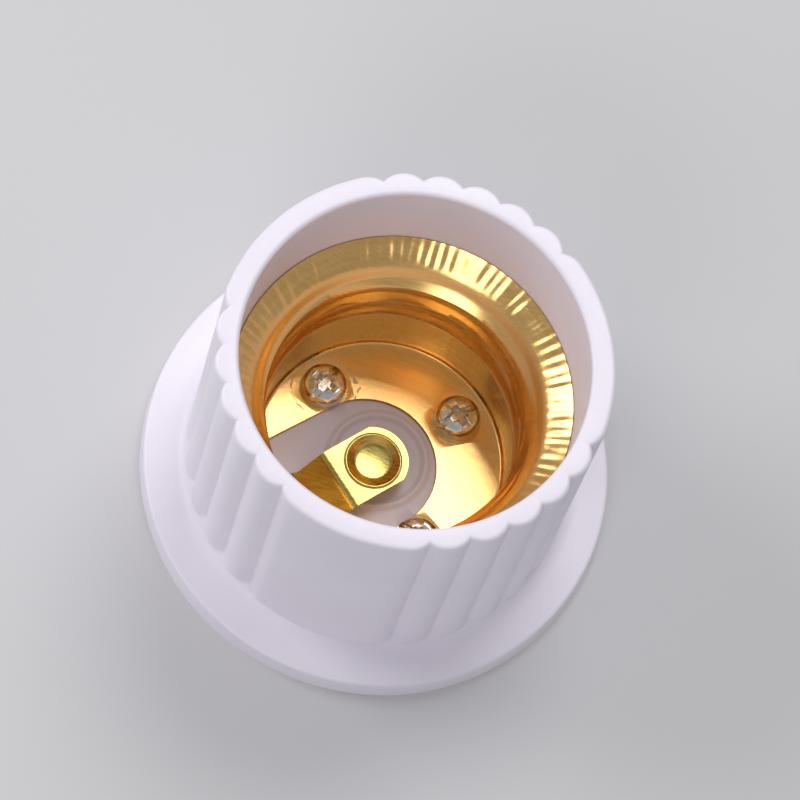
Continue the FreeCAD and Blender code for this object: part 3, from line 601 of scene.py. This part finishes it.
def blade_cutter(length, width, taper, angle):
    """A blade that narrows downwards, at the origin, standing in the top of a head."""
    mesh = bmesh.new()
    bmesh.ops.create_cube(mesh, size=1)
    bmesh.ops.scale(mesh, vec=(length, width, RECESS_DEPTH + CUTTER_OVERRUN), verts=mesh.verts[:])
    low = [corner for corner in mesh.verts if corner.co.z < 0]
    bmesh.ops.scale(mesh, vec=(taper, BLADE_THINNING, 1), verts=low)
    bmesh.ops.translate(mesh, vec=(0, 0, HEAD_TOP - RECESS_DEPTH + (RECESS_DEPTH + CUTTER_OVERRUN) / 2),
                        verts=mesh.verts[:])
    bmesh.ops.rotate(mesh, cent=(0, 0, 0), matrix=Matrix.Rotation(math.radians(angle), 3, "Z"),
                     verts=mesh.verts[:])
    return make_object(mesh, "cutter")


def screw(name, azimuth, blade_angle):
    """One screw, turned about its own axis, cut, and then moved to its place in the shell's floor."""
    seat = SHELL_FLOOR - SEAT_DEPTH + MARGIN
    section = [(0, SCREW_END), (SCREW_SHANK_RADIUS, SCREW_END), (SCREW_SHANK_RADIUS, seat),
               (HEAD_RADIUS, seat), (HEAD_RADIUS, SHELL_FLOOR + HEAD_FOOT),
               (HEAD_RADIUS - 2 * MARGIN, HEAD_EDGE_TOP)]
    section += [(HEAD_RADIUS * share, HEAD_EDGE_TOP + rise) for share, rise in CROWN]
    section += [(HEAD_RADIUS * CROWN_FLAT, HEAD_TOP - MARGIN), (0, HEAD_TOP)]
    mesh = wire(section)
    spin_wire(mesh, SCREW_STEPS)
    piece = make_object(mesh, name + "_head", smooth_angle=50.0)
    carve(piece, [blade_cutter(length, width, taper, blade_angle + turn)
                  for length, width, taper, turn in BLADES])
    angle = math.radians(azimuth)
    reach = SCREW_CIRCLE * MILLIMETRE
    piece.data.transform(Matrix.Translation((reach * math.cos(angle), reach * math.sin(angle), 0)))
    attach(piece, "holder")
    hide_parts(name)
    return piece


screws = [screw(*values) for values in zip(SCREW_NAMES, SCREW_AZIMUTHS, BLADE_ANGLES)]
print("screws made:", [piece.name for piece in screws])

# %% [markdown]
# ## The centre contact
# The contact is a bent strip of brass. Its tongue has a rounded end and a round dish that takes the
# lamp's tip, a sloping leg springs it up from the deck, and its foot is riveted down.
# A flat outline is cut into short rows first, so that it can be bent: each vertex is then laid along
# the bend line, and the dish is pressed down by its distance from the dish's centre.

# %% Contact tongue, leg and foot
STRIP = 0.4
TONGUE_HALF_WIDTH = 3.25
TONGUE_END_RADIUS = 3.6
DISH_REACH = 1.24
DISH_RADIUS = 2.75
DISH_DEPTH = 0.6
DISH_EDGE_RISE = 0.07
DISH_EDGE_WIDTH = 0.13
DISH_WALL_FOOT = 1.7
DISH_WALL_SHARE = 0.55
TONGUE_TOP = 5.6
TONGUE_FOLD = 5.5
LEG_FOOT = 9.2
FOOT_END = 12.1
FOOT_HALF_WIDTH = 2.3
BEND_SOFTNESS = 0.3
CONTACT_ROWS = 200
CONTACT_COLUMNS = 72


def dish_rise(distance):
    """Height of the pressed dish at a distance from its centre, with a slightly raised edge."""
    edge = DISH_EDGE_RISE * math.exp(-((distance - DISH_RADIUS) / DISH_EDGE_WIDTH) ** 2)
    if distance >= DISH_RADIUS:
        return edge
    steep = DISH_WALL_SHARE * ease(distance, DISH_WALL_FOOT, DISH_RADIUS)
    bowl = (1 - DISH_WALL_SHARE) * (distance / DISH_RADIUS) ** 2
    return edge - DISH_DEPTH * (1 - steep - bowl)


def bend_height(reach):
    """Top of the strip at a distance from the axis, with soft bends at the fold and the foot."""
    slope = (DECK_TOP - TONGUE_TOP) / (LEG_FOOT - TONGUE_FOLD)
    leg = TONGUE_TOP + slope * (reach - TONGUE_FOLD)
    upper = -smooth_maximum(-TONGUE_TOP, -leg, BEND_SOFTNESS)
    return smooth_maximum(upper, DECK_TOP, BEND_SOFTNESS)


def half_width(reach):
    """Half the strip's width at a distance from the axis."""
    before_centre = DISH_REACH - reach
    if before_centre > 0:
        chord = math.sqrt(max(TONGUE_END_RADIUS ** 2 - before_centre ** 2, 0.0))
        return min(chord, TONGUE_HALF_WIDTH)
    narrowing = ease(reach, LEG_FOOT - 1.0, LEG_FOOT)
    return TONGUE_HALF_WIDTH + (FOOT_HALF_WIDTH - TONGUE_HALF_WIDTH) * narrowing


def contact_spring():
    """A fine grid that is trimmed to the outline by its width, then bent, pressed and thickened."""
    mesh = bmesh.new()
    bmesh.ops.create_grid(mesh, x_segments=CONTACT_ROWS, y_segments=CONTACT_COLUMNS, size=0.5)
    start = DISH_REACH - TONGUE_END_RADIUS + 0.004
    for corner in mesh.verts:
        reach = start + (corner.co.x + 0.5) * (FOOT_END - start)
        across = corner.co.y * 2 * half_width(reach)
        rise = dish_rise(math.hypot(reach - DISH_REACH, across))
        corner.co = (reach, across, bend_height(reach) + rise)
    bmesh.ops.remove_doubles(mesh, verts=mesh.verts[:], dist=1e-3)
    bmesh.ops.recalc_face_normals(mesh, faces=mesh.faces[:])
    if sum(face.normal.z for face in mesh.faces) < 0:
        bmesh.ops.reverse_faces(mesh, faces=mesh.faces[:])
    bmesh.ops.solidify(mesh, geom=mesh.faces[:], thickness=STRIP)
    bmesh.ops.recalc_face_normals(mesh, faces=mesh.faces[:])
    bmesh.ops.translate(mesh, vec=(0, CONTACT_SHIFT, 0), verts=mesh.verts[:])
    bmesh.ops.rotate(mesh, cent=(0, 0, 0), matrix=Matrix.Rotation(math.radians(CONTACT_AZIMUTH), 3, "Z"),
                     verts=mesh.verts[:])
    return make_object(mesh, "contact_tongue", smooth_angle=45.0)


contact = contact_spring()
contact_box = [round(length / MILLIMETRE, 2) for length in contact.dimensions]
print("contact_tongue has", len(contact.data.polygons), "faces, box", contact_box)

# %% [markdown]
# ## Materials
# Each finish is built from nodes that read Object coordinates, because the pieces sit at the origin
# unscaled, so one unit of a texture is one metre on the real thing and nothing slides between views.
# Colours are given as they look on a screen and turned into Blender's linear values once.

# %% Node helpers


def screen_colour(red, green, blue):
    """A colour from 0 to 255 screen values as linear values for a shader."""
    linear = []
    for value in (red, green, blue):
        share = value / 255
        linear.append(share / 12.92 if share <= 0.04045 else ((share + 0.055) / 1.055) ** 2.4)
    return (*linear, 1.0)


class Finish:
    """A material under construction: its node tree, its shader and short ways to add nodes."""

    def __init__(self, name):
        self.material = bpy.data.materials.new(name)
        self.material.use_nodes = True
        self.nodes = self.material.node_tree.nodes
        self.links = self.material.node_tree.links
        self.shader = self.nodes["Principled BSDF"]
        self.place = self.nodes.new("ShaderNodeTexCoord").outputs["Object"]

    def link(self, source, target):
        self.links.new(source, target)

    def stretched(self, scale):
        mapping = self.nodes.new("ShaderNodeMapping")
        mapping.inputs["Scale"].default_value = scale
        self.link(self.place, mapping.inputs["Vector"])
        return mapping.outputs["Vector"]

    def speckle(self, scale, detail=3.0, place=None):
        texture = self.nodes.new("ShaderNodeTexNoise")
        texture.inputs["Scale"].default_value = scale
        texture.inputs["Detail"].default_value = detail
        self.link(place or self.place, texture.inputs["Vector"])
        return texture.outputs["Fac"]

    def math(self, operation, first, second=None, clamp=False):
        node = self.nodes.new("ShaderNodeMath")
        node.operation = operation
        node.use_clamp = clamp
        for socket, value in zip(node.inputs, (first, second)):
            if value is None:
                continue
            if isinstance(value, (int, float)):
                socket.default_value = value
            else:
                self.link(value, socket)
        return node.outputs["Value"]

    def ramp(self, factor, stops):
        node = self.nodes.new("ShaderNodeValToRGB")
        elements = node.color_ramp.elements
        while len(elements) < len(stops):
            elements.new(0.5)
        for element, (position, colour) in zip(elements, stops):
            element.position = position
            element.color = colour if isinstance(colour, tuple) else (colour, colour, colour, 1.0)
        self.link(factor, node.inputs["Fac"])
        return node.outputs["Color"]

    def mix(self, factor, first, second):
        node = self.nodes.new("ShaderNodeMix")
        node.data_type = "RGBA"
        self.link(factor, node.inputs["Factor"])
        for socket, value in ((node.inputs["A"], first), (node.inputs["B"], second)):
            if isinstance(value, tuple):
                socket.default_value = value
            else:
                self.link(value, socket)
        return node.outputs["Result"]

    def bump(self, height, strength, distance):
        node = self.nodes.new("ShaderNodeBump")
        node.inputs["Strength"].default_value = strength
        node.inputs["Distance"].default_value = distance
        self.link(height, node.inputs["Height"])
        self.link(node.outputs["Normal"], self.shader.inputs["Normal"])

    def set(self, **values):
        for name, value in values.items():
            self.shader.inputs[name.replace("_", " ")].default_value = value

    def colour(self, output):
        self.link(output, self.shader.inputs["Base Color"])

    def roughness(self, output):
        self.link(output, self.shader.inputs["Roughness"])


print("node helpers ready")

# %% [markdown]
# The moulding is a hard white thermoset: smooth, a little cool in tone, with a very faint cloudiness
# and fine mould grain that only shows in its gloss.

# %% White moulding


def white_moulding():
    finish = Finish("white_moulding")
    cloud = finish.speckle(90.0, 4.0)
    finish.colour(finish.ramp(cloud, [(0.3, screen_colour(238, 232, 244)),
                                      (0.7, screen_colour(243, 238, 248))]))
    grain = finish.speckle(2600.0, 2.0)
    finish.roughness(finish.ramp(grain, [(0.3, 0.36), (0.7, 0.44)]))
    finish.bump(grain, 0.06, 0.00008)
    finish.set(Specular_IOR_Level=0.45)
    return finish.material


white = white_moulding()
print("made", white.name)

# %% [markdown]
# Gold-anodised sheet is bright and slightly brushed. The tool marks run round the wall and straight
# across the floor, so the grain is a noise that is stretched along one direction, and the wall reads
# its height while the floor reads a straight line.

# %% Gold sheet
FILM_ANGLE = math.radians(SCREW_AZIMUTHS[0])
FILM_CENTRE = (SCREW_CIRCLE * MILLIMETRE * math.cos(FILM_ANGLE),
               SCREW_CIRCLE * MILLIMETRE * math.sin(FILM_ANGLE),
               SHELL_FLOOR * MILLIMETRE)
FILM_REACH = 0.0033
FILM_HALF_WIDTH = 0.00013
FILM_WOBBLE = 0.0016


def gold_sheet():
    finish = Finish("gold_sheet")
    rings = finish.speckle(260.0, 4.0, finish.stretched((0.6, 0.6, 14.0)))
    floor_grain = finish.speckle(420.0, 4.0, finish.stretched((1.0, 16.0, 1.0)))
    grain = finish.math("MULTIPLY", finish.math("ADD", rings, floor_grain), 0.5)
    base = finish.ramp(grain, [(0.3, screen_colour(238, 188, 112)), (0.7, screen_colour(252, 210, 138))])
    split = finish.nodes.new("ShaderNodeSeparateXYZ")
    finish.link(finish.place, split.inputs["Vector"])
    flat = finish.math("LESS_THAN", split.outputs["Z"], (SHELL_FLOOR + 0.3) * MILLIMETRE)
    away = finish.nodes.new("ShaderNodeVectorMath")
    away.operation = "DISTANCE"
    away.inputs[1].default_value = FILM_CENTRE
    finish.link(finish.place, away.inputs[0])
    wobble = finish.math("SUBTRACT", finish.speckle(520.0, 5.0), 0.5)
    distance = finish.math("ADD", away.outputs["Value"], finish.math("MULTIPLY", wobble, FILM_WOBBLE))
    aside = finish.math("ABSOLUTE", finish.math("SUBTRACT", distance, FILM_REACH))
    band = finish.math("SUBTRACT", 1.0, finish.math("DIVIDE", aside, FILM_HALF_WIDTH), clamp=True)
    patchy = finish.ramp(finish.speckle(1400.0, 3.0), [(0.46, 0.0), (0.52, 1.0)])
    film = finish.math("MULTIPLY", finish.math("MULTIPLY", band, patchy), flat)
    finish.colour(finish.mix(finish.math("MULTIPLY", film, 0.6), base, screen_colour(236, 222, 214)))
    worn = finish.ramp(grain, [(0.3, 0.17), (0.7, 0.29)])
    finish.roughness(finish.mix(film, worn, (0.6, 0.6, 0.6, 1.0)))
    finish.bump(grain, 0.12, 0.00006)
    finish.set(Metallic=1.0)
    return finish.material


gold = gold_sheet()
print("made", gold.name)

# %% [markdown]
# The contact's brass is olive where it lies in shade and warm where light strikes it, with fine rolled grain
# and small stains. The screws are nickel over steel, speckled with pits.

# %% Brass, nickel, steel and plate


def metal(name, dark, light, smooth, rough, scale, stretch, depth):
    finish = Finish(name)
    grain = finish.speckle(scale, 4.0, finish.stretched(stretch))
    stain = finish.speckle(scale * 0.35, 3.0)
    both = finish.math("MULTIPLY", finish.math("ADD", grain, stain), 0.5)
    finish.colour(finish.ramp(both, [(0.32, dark), (0.66, light)]))
    finish.roughness(finish.ramp(both, [(0.3, smooth), (0.7, rough)]))
    finish.bump(grain, 0.15, depth)
    finish.set(Metallic=1.0)
    return finish.material


def plate_plastic():
    finish = Finish("plate_plastic")
    grain = finish.speckle(1500.0, 3.0)
    finish.colour(finish.ramp(grain, [(0.3, screen_colour(176, 176, 178)),
                                      (0.7, screen_colour(186, 186, 187))]))
    finish.roughness(finish.ramp(grain, [(0.3, 0.5), (0.7, 0.62)]))
    finish.bump(grain, 0.1, 0.0001)
    return finish.material


contact_brass = metal("contact_brass", screen_colour(176, 152, 76), screen_colour(224, 202, 120), 0.16, 0.28,
                      700.0, (1.0, 6.0, 1.0), 0.00005)
plain_brass = metal("plain_brass", screen_colour(190, 150, 80), screen_colour(222, 186, 112), 0.25, 0.4,
                    900.0, (1.0, 1.0, 1.0), 0.00004)
nickel = metal("nickel_plate", screen_colour(206, 200, 186), screen_colour(246, 243, 236), 0.12, 0.26,
               1500.0, (1.0, 1.0, 1.0), 0.00008)
steel = metal("terminal_steel", screen_colour(160, 162, 166), screen_colour(196, 198, 202), 0.3, 0.45,
              1200.0, (1.0, 1.0, 1.0), 0.00004)
plate = plate_plastic()

# %% [markdown]
# ## Putting the finishes on
# A CAD node that keeps its own mesh only gets a better material in its slot. The new pieces of the holder,
# the shell and the screws ride on the holder's body, and the node that each new piece replaces is hidden.
# The contact, whose foot is riveted to the holder, gets no body here; its node is hidden and its transform
# is baked into its mesh.

# %% Assign materials and bodies
NODE_FINISH = {
    "base_plate": plate,
    "contact_rivet": plain_brass,
    "contact_strip": plain_brass,
    "shell_strip": plain_brass,
    "base_insert_1": plain_brass,
    "base_insert_2": plain_brass,
    "base_insert_3": plain_brass,
    "contact_terminal_screw": steel,
    "contact_terminal_clamp": steel,
    "contact_terminal_nut": steel,
    "shell_terminal_screw": steel,
    "shell_terminal_clamp": steel,
    "shell_terminal_nut": steel,
}


def dress(piece, material):
    piece.data.materials.clear()
    piece.data.materials.append(material)


for node, material in NODE_FINISH.items():
    dress(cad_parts[node], material)
for piece in (tube, deck):
    dress(piece, white)
    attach(piece, "holder")
    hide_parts("holder_body")
dress(shell, gold)
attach(shell, "holder")
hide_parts("screw_shell")
for piece in screws:
    dress(piece, nickel)


dress(contact, contact_brass)
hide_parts("contact_spring")
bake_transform(contact)
print("finishes are on", len(NODE_FINISH), "nodes and", 4 + len(screws), "new pieces")

# %% [markdown]
# ## Floor, light and world
# The floor is plain and pale. One large soft lamp stands high behind the socket, a weaker one at its
# left and a faint one in front, and the world fills the shade. That is the light of a product table,
# and it leaves the front of the tube a little darker than its rim, as it should.

# %% Floor and lamps
LAMP_AIM = Vector((0, 0, 0.015))


def floor_plane():
    mesh = bmesh.new()
    bmesh.ops.create_grid(mesh, x_segments=1, y_segments=1, size=2.0)
    data = bpy.data.meshes.new("floor")
    mesh.to_mesh(data)
    mesh.free()
    floor = bpy.data.objects.new("floor", data)
    bpy.context.scene.collection.objects.link(floor)
    finish = Finish("floor_paper")
    tone = finish.speckle(6.0, 2.0)
    finish.colour(finish.ramp(tone, [(0.3, screen_colour(205, 204, 206)),
                                      (0.7, screen_colour(210, 209, 211))]))
    finish.set(Roughness=0.7)
    dress(floor, finish.material)


def lamp(name, place, size, power):
    """A round soft lamp that shines on the middle of the socket."""
    data = bpy.data.lights.new(name, "AREA")
    data.shape = "DISK"
    data.size = size
    data.energy = power
    light = bpy.data.objects.new(name, data)
    light.location = place
    light.rotation_euler = (LAMP_AIM - Vector(place)).to_track_quat("-Z", "Y").to_euler()
    bpy.context.scene.collection.objects.link(light)


floor_plane()
lamp("soft_key", (0.02, 0.25, 0.4), 0.24, 0.8)
lamp("soft_side", (-0.34, 0.04, 0.28), 0.22, 0.6)
lamp("soft_front", (-0.06, -0.36, 0.32), 0.2, 0.35)
world = bpy.data.worlds.new("room")
world.use_nodes = True
sky = world.node_tree.nodes["Background"]
sky.inputs["Color"].default_value = (0.9, 0.9, 0.93, 1.0)
sky.inputs["Strength"].default_value = 0.4
bpy.context.scene.world = world
bpy.context.scene.view_settings.view_transform = "Standard"
print("floor, lamps and world are set")
